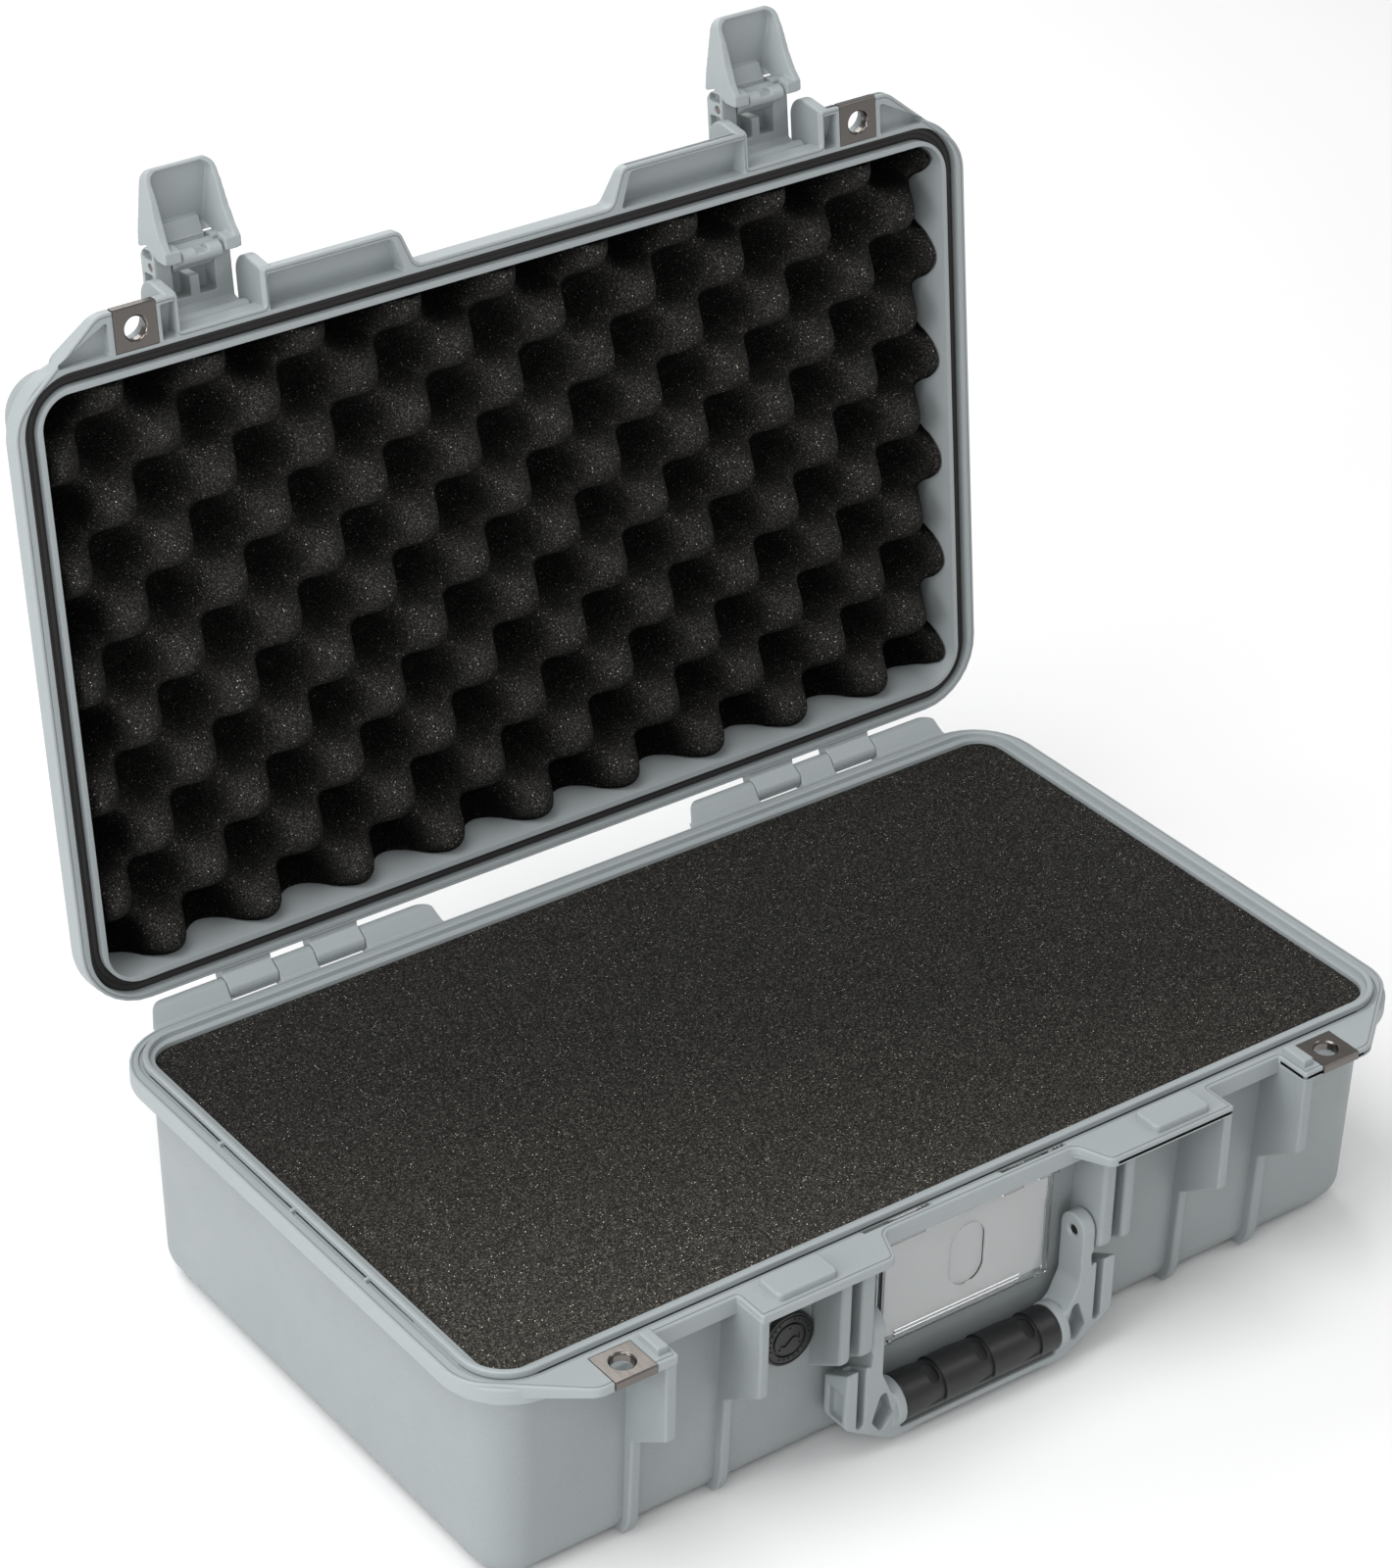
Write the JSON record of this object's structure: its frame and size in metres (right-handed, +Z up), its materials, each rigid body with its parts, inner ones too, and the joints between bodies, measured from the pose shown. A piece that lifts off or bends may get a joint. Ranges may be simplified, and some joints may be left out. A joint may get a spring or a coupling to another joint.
{
  "type": "hard protective case",
  "caption": "Open moulded protective case with foam-filled tub, hinged lid with egg-crate foam, lever latches, padlock points, label window, valve and fold-down handle.",
  "frame": {"origin": "centre of the tub's flat underside", "axes": "+X to the right of a person facing the latches, +Y back to the hinges, +Z up"},
  "size_m": [0.4766, 0.3789, 0.4548],
  "materials": {
    "moulded_grey": "fine moulded texture",
    "foam": "open-cell foam",
    "black": "satin",
    "grip": "soft-touch moulded",
    "seal": "matte",
    "steel": "stamped",
    "clear": "clear",
    "card": "plain card"
  },
  "bodies": {
    "base": {"base_shell": "moulded_grey", "base_foam_block": "foam", "base_foam_pad": "foam", "padlock_plate_base_left": "steel", "padlock_plate_base_right": "steel", "label_window": "clear", "label_card": "card", "valve_body": "black", "valve_cap": "black", "valve_nut": "black", "hinge_pin_left": "steel", "hinge_pin_right": "steel"},
    "handle": {"handle_frame": "moulded_grey", "handle_grip": "grip", "handle_pin_left": "steel", "handle_pin_right": "steel"},
    "lid": {"lid_shell": "moulded_grey", "lid_gasket": "seal", "lid_foam": "foam", "padlock_plate_lid_left": "steel", "padlock_plate_lid_right": "steel"},
    "latch_left": {"latch_left_body": "moulded_grey", "latch_left_pivot_pin": "steel", "latch_left_lever_pin": "steel"},
    "lever_left": {"latch_left_lever": "moulded_grey"},
    "latch_right": {"latch_right_body": "moulded_grey", "latch_right_pivot_pin": "steel", "latch_right_lever_pin": "steel"},
    "lever_right": {"latch_right_lever": "moulded_grey"}
  },
  "joints": [
    {"name": "lid_hinge", "type": "hinge", "parent": "base", "child": "lid", "pos_m": [0, 0.1506, 0.1083], "axis": [1, 0, 0], "range_deg": [0, 96.46]},
    {"name": "handle_pivot", "type": "hinge", "parent": "base", "child": "handle", "pos_m": [0, -0.1415, 0.0645], "axis": [-1, 0, 0], "range_deg": [0, 100]},
    {"name": "latch_left_swing", "type": "hinge", "parent": "lid", "child": "latch_left", "pos_m": [-0.1406, 0.19763, 0.39392], "axis": [1, 0, 0], "range_deg": [0, 90]},
    {"name": "lever_left_turn", "type": "hinge", "parent": "latch_left", "child": "lever_left", "pos_m": [-0.1406, 0.20981, 0.41609], "axis": [-1, 0, 0], "range_deg": [0, 65]},
    {"name": "latch_right_swing", "type": "hinge", "parent": "lid", "child": "latch_right", "pos_m": [0.1406, 0.19763, 0.39392], "axis": [1, 0, 0], "range_deg": [0, 90]},
    {"name": "lever_right_turn", "type": "hinge", "parent": "latch_right", "child": "lever_right", "pos_m": [0.1406, 0.20981, 0.41609], "axis": [-1, 0, 0], "range_deg": [0, 65]}
  ]
}
